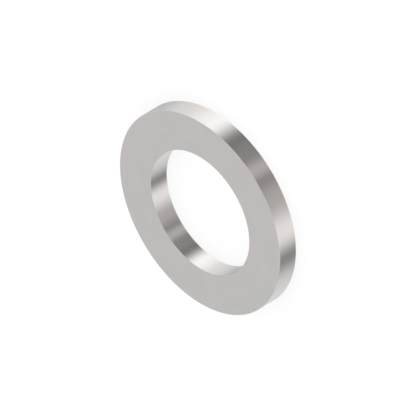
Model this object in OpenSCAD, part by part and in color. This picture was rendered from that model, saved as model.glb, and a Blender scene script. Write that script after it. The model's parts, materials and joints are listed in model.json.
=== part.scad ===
// Flat steel washer: one turned ring with square walls, flat faces and lightly deburred edges.
// It lies on its underside at z = 0, with the bore's axis on the Z axis. Sizes are in millimetres.

/* [Ring] */
// Outer diameter of the rim
outer_d = 30; // [24:0.5:60]
// Diameter of the bore that the bolt or pin passes through
bore_d = 18.4; // [4:0.1:22]
// Thickness between the two flat faces
thickness = 3; // [1:0.1:8]

/* [Edges] */
// Radius that deburring leaves on both edges of the rim
rim_edge_r = 0.05; // [0.02:0.01:0.4]
// Radius that deburring leaves on both edges of the bore
bore_edge_r = 0.05; // [0.02:0.01:0.4]

/* [Hidden] */

// Radii of the two walls
rim_r = outer_d / 2;
bore_r = bore_d / 2;

// Steel as the flat faces show it, a neutral and slightly warm grey
steel = [0.74, 0.735, 0.73];

// Fineness of the curves when they are drawn
ring_fn = 240;
edge_fn = 48;

// Strip of the section that stands on a wall at radius wall_r, from one rounded edge to the other.
// out is 1 where the strip lies outside the wall radius, as at the bore, and -1 where it lies inside.
module wall_strip(wall_r, edge_r, out) {
    edge_x = wall_r + out * edge_r;
    translate([min(wall_r, edge_x), edge_r])
        square([edge_r, thickness - 2 * edge_r]);
    for (edge_y = [edge_r, thickness - edge_r])
        translate([edge_x, edge_y])
            circle(r = edge_r, $fn = edge_fn);
}

// Half section of the ring: x is the distance from the axis and y the height above the underside.
module ring_section() {
    flat_start = bore_r + bore_edge_r;
    flat_end = rim_r - rim_edge_r;
    translate([flat_start, 0])
        square([flat_end - flat_start, thickness]);
    wall_strip(bore_r, bore_edge_r, 1);
    wall_strip(rim_r, rim_edge_r, -1);
}

// The whole washer, its section turned once round the axis.
module washer() {
    color(steel)
        rotate_extrude($fn = ring_fn)
            ring_section();
}

washer();
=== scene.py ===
"""Flat steel washer lying on a pale floor, in a soft white studio.

The camera looks down on the washer and is rolled, so that the ring lies in the picture as it does in the
photograph. The metal also mirrors a light tent, which nothing else shows. Lengths are in metres unless a name
says otherwise.
"""

import json
import math

import bmesh
import bpy
from mathutils import Matrix, Vector


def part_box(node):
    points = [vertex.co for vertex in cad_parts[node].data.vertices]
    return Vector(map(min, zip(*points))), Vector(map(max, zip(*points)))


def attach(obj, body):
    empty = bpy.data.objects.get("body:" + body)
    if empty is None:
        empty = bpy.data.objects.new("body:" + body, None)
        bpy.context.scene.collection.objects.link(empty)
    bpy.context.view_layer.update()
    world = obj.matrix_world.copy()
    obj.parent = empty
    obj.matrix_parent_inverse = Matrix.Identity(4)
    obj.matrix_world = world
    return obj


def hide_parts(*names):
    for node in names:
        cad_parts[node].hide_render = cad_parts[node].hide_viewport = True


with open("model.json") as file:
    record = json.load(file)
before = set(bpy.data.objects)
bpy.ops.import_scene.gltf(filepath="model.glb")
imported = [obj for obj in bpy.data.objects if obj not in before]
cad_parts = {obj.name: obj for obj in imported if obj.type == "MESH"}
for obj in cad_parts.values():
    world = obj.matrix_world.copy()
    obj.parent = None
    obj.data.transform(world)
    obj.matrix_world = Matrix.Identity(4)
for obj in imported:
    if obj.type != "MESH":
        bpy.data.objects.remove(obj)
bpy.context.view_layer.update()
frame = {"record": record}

MM = 0.001
HALF_TURN_DEG = 180.0

# Sizes of the ring, from the frame
low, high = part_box("washer")
bore = next(m for m in frame["record"]["mounts"] if m["name"] == "bore")
RIM_R = (high.x - low.x) / 2
TOP_Z = high.z
BORE_R = bore["dims"]["r_mm"] * MM
EDGE_R = (TOP_Z - bore["dims"]["length_mm"] * MM) / 2

# Fineness of the ring's mesh: segments round it, steps in each rounded edge, rings across a wall and a face
SEGMENTS = 480
EDGE_STEPS = 8
WALL_RINGS = 6
FACE_RINGS = 12

# The photograph's frame in pixels, with the middle and radius of the washer's upper face in it
IMAGE_PX = 416
FACE_CENTRE_PX = (199.96, 212.81)
RIM_R_PX = 113.16

# The photograph's parallel view of the face, and where the camera stands and can see
CAMERA_ELEVATION_DEG = 34.51
CAMERA_ROLL_DEG = 120.985
CAMERA_DISTANCE = 0.25
CLIP_START = 0.01
CLIP_END = 2.0

# The steel's two tints, which blend in broad clouds, and its roughness
STEEL_COOL = (0.500, 0.496, 0.486)
STEEL_WARM = (0.513, 0.490, 0.482)
STEEL_ROUGHNESS = 0.20

# Marks in the steel: turning lines round the axis, a fine grain, broad clouds and edges polished by handling.
# A size is a mark's usual width, and a tone is the share by which its darkest and lightest places differ.
LINE_SIZE_MM = 0.07
LINE_BREAKS = 2.5
LINE_TONE = 0.04
LINE_DEPTH = 0.6e-6
GRAIN_SIZE_MM = 0.05
GRAIN_TONE = 0.04
GRAIN_ROUGHNESS = 0.06
CLOUD_SIZE_MM = 4.0
CLOUD_TONE = 0.015
WEAR_NARROW_MM = 0.08
WEAR_WIDE_MM = 0.3
WEAR_TONE = 0.05
WEAR_ROUGHNESS = -0.05

# Octaves of the marks' noise, and the range of it that is stretched from 0 to 1
MARK_DETAIL = 2.0
NOISE_LOW = 0.3
NOISE_HIGH = 0.7

# Tints of the light
WHITE = (1.0, 1.0, 1.0)
COOL = (1.0, 1.0, 1.02)
NEUTRAL = (1.0, 1.0, 0.99)
WARM = (1.0, 0.97, 0.96)
WARMER = (1.0, 0.94, 0.91)

# A light tent stands round the washer, and only reflections show it. It is dim, and its upright panels of
# light give the ring's walls the photograph's dark and light bands. Its upper edge fades into the white
# studio.
TENT_R = 0.45
TENT_SEGMENTS = 96
TENT_BOTTOM = -0.6
TENT_FADE_FROM = 0.03
TENT_TOP = 0.15
TENT_DIM = (0.3, 0.3, 0.3)

# Half widths of a panel's soft edge in degrees
SHARP = 5
SOFT = 15
BROAD = 60

# A panel runs from one compass angle to another, in degrees anticlockwise from +X, and level is the light
# that it adds to the tent, where the white studio has 1.
PANELS = {
    "key": dict(start=-30, start_soft=SOFT, end=20, end_soft=BROAD, level=1.9, tint=NEUTRAL),
    "back": dict(start=25, start_soft=SOFT, end=160, end_soft=SOFT, level=0.35, tint=COOL),
    "behind": dict(start=85, start_soft=SHARP, end=105, end_soft=SHARP, level=0.35, tint=COOL),
    "left": dict(start=110, start_soft=SOFT, end=170, end_soft=SOFT, level=0.45, tint=NEUTRAL),
    "near_left": dict(start=-170, start_soft=SOFT, end=-135, end_soft=SOFT, level=1.25, tint=WARM),
    "near_low": dict(start=-135, start_soft=SOFT, end=-100, end_soft=SOFT, level=0.5, tint=WARMER),
    "slit": dict(start=-90, start_soft=SHARP, end=-75, end_soft=SHARP, level=0.45, tint=WARMER),
    "near_glow": dict(start=-90, start_soft=SHARP, end=-50, end_soft=SHARP, level=0.15, tint=WARMER),
}

# Overhead softbox and the floor
SOFTBOX_SIZE = 0.6
SOFTBOX_HEIGHT = 0.6
SOFTBOX_RADIANCE = 0.8
FLOOR_SIZE = 1.2
FLOOR_COLOUR = (0.92, 0.92, 0.92)
FLOOR_WHITE_SHARE = 0.8


class Graph:
    """Builds a node tree. A value is a number, a colour or the output of another node."""

    # Places of the Mix node's colour sockets, whose names repeat
    MIX_FACTOR, MIX_A, MIX_B, MIX_RESULT = 0, 6, 7, 2

    def __init__(self, tree):
        self.tree = tree
        tree.nodes.clear()

    def node(self, kind, inputs, **settings):
        """A new node of a kind, with its settings made and its inputs fed."""
        made = self.tree.nodes.new(kind)
        for name, setting in settings.items():
            setattr(made, name, setting)
        for key, value in inputs.items():
            self.feed(made.inputs[key], value)
        return made

    def feed(self, socket, value):
        """Links an output to a socket, or sets the socket to a number or colour."""
        if isinstance(value, bpy.types.NodeSocket):
            self.tree.links.new(value, socket)
        elif socket.type == "RGBA":
            socket.default_value = (*value, 1.0)
        else:
            socket.default_value = value

    def math(self, operation, *values):
        return self.node("ShaderNodeMath", dict(enumerate(values)), operation=operation).outputs[0]

    def scale(self, vector, factor):
        """A vector or a colour times a number."""
        inputs = {0: vector, "Scale": factor}
        return self.node("ShaderNodeVectorMath", inputs, operation="SCALE").outputs[0]

    def ease(self, value, at_zero, at_one):
        """0 at one value and 1 at the other, with a smooth passage between them."""
        inputs = {"Value": value, "From Min": at_zero, "From Max": at_one}
        return self.node("ShaderNodeMapRange", inputs, interpolation_type="SMOOTHSTEP").outputs[0]

    def mix(self, factor, a, b, blend="MIX"):
        """Colour a with a share of colour b blended in."""
        inputs = {self.MIX_FACTOR: factor, self.MIX_A: a, self.MIX_B: b}
        mixed = self.node("ShaderNodeMix", inputs, data_type="RGBA", blend_type=blend)
        return mixed.outputs[self.MIX_RESULT]

    def marks(self, place, size, fourth=0.0):
        """Noise from 0 to 1 whose blots are about size wide in the units of place."""
        inputs = {"Vector": place, "W": fourth, "Scale": 1 / size, "Detail": MARK_DETAIL}
        noise = self.node("ShaderNodeTexNoise", inputs, noise_dimensions="4D").outputs[0]
        return self.ease(noise, NOISE_LOW, NOISE_HIGH)


def add_object(name, data):
    """A new object at the origin, in the scene."""
    made = bpy.data.objects.new(name, data)
    bpy.context.scene.collection.objects.link(made)
    return made


def new_material(name):
    """A new material and its empty node tree."""
    material = bpy.data.materials.new(name)
    material.use_nodes = True
    return material, Graph(material.node_tree)


def make_camera():
    """A parallel view of the washer, tilted, rolled and framed as the photograph shows its face."""
    data = bpy.data.cameras.new("camera")
    data.type = "ORTHO"
    metres_per_px = RIM_R / RIM_R_PX
    data.ortho_scale = IMAGE_PX * metres_per_px
    data.clip_start = CLIP_START
    data.clip_end = CLIP_END
    tilt = Matrix.Rotation(math.radians(90 - CAMERA_ELEVATION_DEG), 3, "X")
    roll = Matrix.Rotation(-math.radians(CAMERA_ROLL_DEG), 3, "Z")
    turn = tilt @ roll
    right, up, back = turn.col
    aside = (IMAGE_PX / 2 - FACE_CENTRE_PX[0]) * metres_per_px
    above = (FACE_CENTRE_PX[1] - IMAGE_PX / 2) * metres_per_px
    camera = add_object("camera", data)
    camera.rotation_euler = turn.to_euler()
    camera.location = Vector((0, 0, TOP_Z)) + right * aside + up * above + back * CAMERA_DISTANCE
    bpy.context.scene.camera = camera


def rounded_edge(centre_r, centre_z, start_deg):
    """A quarter turn of the section, as points of radius, height and the angle of the normal."""
    for step in range(EDGE_STEPS + 1):
        angle = math.radians(start_deg + 90 * step / EDGE_STEPS)
        yield centre_r + EDGE_R * math.cos(angle), centre_z + EDGE_R * math.sin(angle), angle


def straight(start, end, rings):
    """Points between the ends of two rounded edges, which share a normal."""
    for ring in range(1, rings + 1):
        share = ring / (rings + 1)
        yield start[0] + share * (end[0] - start[0]), start[1] + share * (end[1] - start[1]), start[2]


def ring_section():
    """The washer's section, anticlockwise from the underside's rounded edge at the rim."""
    outer, inner = RIM_R - EDGE_R, BORE_R + EDGE_R
    lower, upper = EDGE_R, TOP_Z - EDGE_R
    edges = [
        list(rounded_edge(*corner))
        for corner in ((outer, lower, -90), (outer, upper, 0), (inner, upper, 90), (inner, lower, 180))
    ]
    section = []
    for edge, following, rings in zip(edges, edges[1:] + edges[:1], (WALL_RINGS, FACE_RINGS) * 2):
        section += edge
        section += straight(edge[-1], following[0], rings)
    return section


def make_ring():
    """The washer's mesh, its section turned round the Z axis, with the section's own normals."""
    section = ring_section()
    made = bmesh.new()
    rings = []
    normals = []
    for segment in range(SEGMENTS):
        around = math.tau * segment / SEGMENTS
        direction = Vector((math.cos(around), math.sin(around), 0))
        places = [direction * radius + Vector((0, 0, height)) for radius, height, _ in section]
        rings.append([made.verts.new(place) for place in places])
        normals += [direction * math.cos(angle) + Vector((0, 0, math.sin(angle))) for _, _, angle in section]
    for ring, following in zip(rings, rings[1:] + rings[:1]):
        for a, b, c, d in zip(ring, following, following[1:] + following[:1], ring[1:] + ring[:1]):
            made.faces.new((a, b, c, d)).smooth = True
    mesh = bpy.data.meshes.new("washer_ring")
    made.to_mesh(mesh)
    made.free()
    mesh.normals_split_custom_set_from_vertices(normals)
    mesh.materials.append(steel_material())
    return add_object("washer_ring", mesh)


def steel_material():
    """Turned steel: fine lines round the axis, a faint grain, and edges that handling has polished."""
    material, g = new_material("turned_steel")
    place = g.node("ShaderNodeTexCoord", {}).outputs["Object"]
    in_mm = g.scale(place, 1 / MM)
    x, y, z = g.node("ShaderNodeSeparateXYZ", {0: in_mm}).outputs
    radius = g.math("SQRT", g.math("ADD", g.math("MULTIPLY", x, x), g.math("MULTIPLY", y, y)))

    # A turning line keeps to one radius and height, and fades and returns slowly round the ring
    breaks = LINE_BREAKS * LINE_SIZE_MM
    along_x, along_y = (g.math("MULTIPLY", g.math("DIVIDE", axis, radius), breaks) for axis in (x, y))
    lathe = g.node("ShaderNodeCombineXYZ", {0: radius, 1: along_x, 2: along_y}).outputs[0]
    lines = g.marks(lathe, LINE_SIZE_MM, z)
    grain = g.marks(in_mm, GRAIN_SIZE_MM)
    cloud = g.marks(in_mm, CLOUD_SIZE_MM)

    # Along the four edges the wear runs in a strip, which the clouds make wider and narrower
    from_bore, from_rim = g.math("SUBTRACT", radius, BORE_R / MM), g.math("SUBTRACT", RIM_R / MM, radius)
    from_wall = g.math("MINIMUM", from_bore, from_rim)
    from_face = g.math("MINIMUM", z, g.math("SUBTRACT", TOP_Z / MM, z))
    strip = g.math("MULTIPLY_ADD", cloud, WEAR_WIDE_MM - WEAR_NARROW_MM, WEAR_NARROW_MM)
    wear = g.ease(g.math("MAXIMUM", from_wall, from_face), strip, 0.0)

    # The tone's middle is 1 away from the worn edges
    tone = 1 - (LINE_TONE + GRAIN_TONE + CLOUD_TONE) / 2
    for mark, strength in ((lines, LINE_TONE), (grain, GRAIN_TONE), (cloud, CLOUD_TONE), (wear, WEAR_TONE)):
        tone = g.math("MULTIPLY_ADD", mark, strength, tone)
    colour = g.scale(g.mix(cloud, STEEL_COOL, STEEL_WARM), tone)
    roughness = g.math("MULTIPLY_ADD", grain, GRAIN_ROUGHNESS, STEEL_ROUGHNESS - GRAIN_ROUGHNESS / 2)
    roughness = g.math("MULTIPLY_ADD", wear, WEAR_ROUGHNESS, roughness)
    bump = g.node("ShaderNodeBump", {"Strength": 1.0, "Distance": LINE_DEPTH, "Height": lines})
    shader = g.node(
        "ShaderNodeBsdfPrincipled",
        {"Base Color": colour, "Metallic": 1.0, "Roughness": roughness, "Normal": bump.outputs[0]},
    )
    g.node("ShaderNodeOutputMaterial", {"Surface": shader.outputs[0]})
    return material


def make_world():
    """The studio, plain white all round."""
    world = bpy.data.worlds.new("studio")
    world.use_nodes = True
    bpy.context.scene.world = world
    g = Graph(world.node_tree)
    background = g.node("ShaderNodeBackground", {"Color": WHITE, "Strength": 1.0})
    g.node("ShaderNodeOutputWorld", {"Surface": background.outputs[0]})


def panel_shape(g, compass, panel):
    """1 inside a panel and 0 outside it, with its soft edges between them."""
    middle = (panel["start"] + panel["end"]) / 2
    half = (panel["end"] - panel["start"]) / 2
    beside = g.math("WRAP", g.math("SUBTRACT", compass, middle), HALF_TURN_DEG, -HALF_TURN_DEG)
    rise = g.ease(beside, -half - panel["start_soft"], -half + panel["start_soft"])
    fall = g.ease(beside, half + panel["end_soft"], half - panel["end_soft"])
    return g.math("MULTIPLY", rise, fall)


def tent_material():
    """Light by compass angle, with the white studio let through at the tent's upper edge."""
    material, g = new_material("tent_light")
    place = g.node("ShaderNodeTexCoord", {}).outputs["Object"]
    x, y, z = g.node("ShaderNodeSeparateXYZ", {0: place}).outputs
    compass = g.math("DEGREES", g.math("ARCTAN2", y, x))
    light = TENT_DIM
    for panel in PANELS.values():
        glow = tuple(part * panel["level"] for part in panel["tint"])
        light = g.mix(panel_shape(g, compass, panel), light, glow, "ADD")
    lit = g.node("ShaderNodeEmission", {"Color": light, "Strength": 1.0}).outputs[0]
    clear = g.node("ShaderNodeBsdfTransparent", {"Color": WHITE}).outputs[0]
    fade = g.ease(z, TENT_FADE_FROM, TENT_TOP)
    surface = g.node("ShaderNodeMixShader", {0: fade, 1: lit, 2: clear}).outputs[0]
    g.node("ShaderNodeOutputMaterial", {"Surface": surface})
    return material


def make_tent():
    """The light tent's round wall, which reaches below the floor because the ring's walls mirror it there."""
    made = bmesh.new()
    depth = TENT_TOP - TENT_BOTTOM
    bmesh.ops.create_cone(made, segments=TENT_SEGMENTS, radius1=TENT_R, radius2=TENT_R, depth=depth)
    bmesh.ops.translate(made, verts=made.verts, vec=(0, 0, (TENT_TOP + TENT_BOTTOM) / 2))
    mesh = bpy.data.meshes.new("light_tent")
    made.to_mesh(mesh)
    made.free()
    mesh.materials.append(tent_material())
    tent = add_object("light_tent", mesh)
    tent.visible_camera = False
    tent.visible_diffuse = False
    tent.visible_transmission = False
    tent.visible_shadow = False


def make_softbox():
    """A soft lamp over the washer, kept out of the reflections, where it would draw a line on the edges."""
    data = bpy.data.lights.new("softbox", "AREA")
    data.shape = "SQUARE"
    data.size = SOFTBOX_SIZE
    # A flat lamp's power is pi times its radiance and its area
    data.energy = SOFTBOX_RADIANCE * math.pi * SOFTBOX_SIZE**2
    softbox = add_object("softbox", data)
    softbox.location = (0, 0, SOFTBOX_HEIGHT)
    softbox.visible_glossy = False


def make_floor():
    """A pale floor, which the camera sees as white apart from the washer's soft shadow.

    Reflections see past it, to the tent and the white studio.
    """
    mesh = bpy.data.meshes.new("floor")
    half = FLOOR_SIZE / 2
    corners = [(-half, -half, 0), (half, -half, 0), (half, half, 0), (-half, half, 0)]
    mesh.from_pydata(corners, [], [(0, 1, 2, 3)])
    material, g = new_material("pale_floor")
    rays = g.node("ShaderNodeLightPath", {}).outputs
    seen = g.math("MAXIMUM", rays["Is Camera Ray"], rays["Is Transmission Ray"])
    paint = g.node("ShaderNodeBsdfDiffuse", {"Color": FLOOR_COLOUR}).outputs[0]
    white = g.node("ShaderNodeEmission", {"Color": WHITE, "Strength": 1.0}).outputs[0]
    share = g.math("MULTIPLY", seen, FLOOR_WHITE_SHARE)
    surface = g.node("ShaderNodeMixShader", {0: share, 1: paint, 2: white}).outputs[0]
    g.node("ShaderNodeOutputMaterial", {"Surface": surface})
    mesh.materials.append(material)
    floor = add_object("floor", mesh)
    floor.visible_glossy = False


bpy.context.scene.view_settings.view_transform = "Standard"
make_camera()
ring = make_ring()
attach(ring, "root")
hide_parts("washer")
make_floor()
make_softbox()
make_tent()
make_world()
